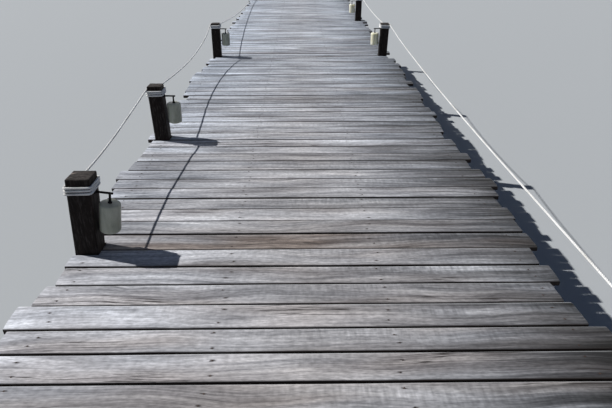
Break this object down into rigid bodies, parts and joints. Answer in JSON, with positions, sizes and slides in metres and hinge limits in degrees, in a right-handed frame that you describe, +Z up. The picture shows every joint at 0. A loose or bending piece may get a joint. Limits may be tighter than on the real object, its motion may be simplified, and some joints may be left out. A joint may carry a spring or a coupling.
{
  "type": "wooden footbridge",
  "caption": "Timber footbridge on round pile bents, with square posts, post lamps and low rope handrails along a deck of weathered planks.",
  "frame": {"origin": "level with the pile feet, below the middle of the deck", "axes": "+X across the deck to the right, +Y along the deck, +Z up"},
  "size_m": [2.564, 14.918, 2.134],
  "materials": {
    "deck_board": "weathered silver-grey",
    "structural_timber": "weathered dark brown",
    "pile_timber": "rough, weathered",
    "post_timber": "dark, weathered",
    "lamp_iron": "matt black",
    "lamp_shade": "frosted, aged cream",
    "rope": "laid, slightly soiled white"
  },
  "bodies": {
    "root": {"cap_beam_1": "structural_timber", "cap_beam_2": "structural_timber", "cap_beam_3": "structural_timber", "cap_beam_4": "structural_timber", "cap_beam_5": "structural_timber", "cross_braces": "structural_timber", "deck_planks_1": "deck_board", "deck_planks_2": "deck_board", "deck_planks_3": "deck_board", "deck_planks_4": "deck_board", "lamp_brackets_left": "lamp_iron", "lamp_brackets_right": "lamp_iron", "lamp_shades_left": "lamp_shade", "lamp_shades_right": "lamp_shade", "pile_pair_1": "pile_timber", "pile_pair_2": "pile_timber", "pile_pair_3": "pile_timber", "pile_pair_4": "pile_timber", "pile_pair_5": "pile_timber", "post_left_1": "post_timber", "post_left_2": "post_timber", "post_left_3": "post_timber", "post_left_4": "post_timber", "post_right_1": "post_timber", "post_right_2": "post_timber", "post_right_3": "post_timber", "post_right_4": "post_timber", "rope_left_1": "rope", "rope_left_2": "rope", "rope_left_3": "rope", "rope_right_1": "rope", "rope_right_2": "rope", "rope_right_3": "rope", "rope_turns_left_1": "rope", "rope_turns_left_2": "rope", "rope_turns_left_3": "rope", "rope_turns_left_4": "rope", "rope_turns_right_1": "rope", "rope_turns_right_2": "rope", "rope_turns_right_3": "rope", "rope_turns_right_4": "rope", "stringer_left_inner": "structural_timber", "stringer_left_outer": "structural_timber", "stringer_right_inner": "structural_timber", "stringer_right_outer": "structural_timber"}
  },
  "joints": []
}
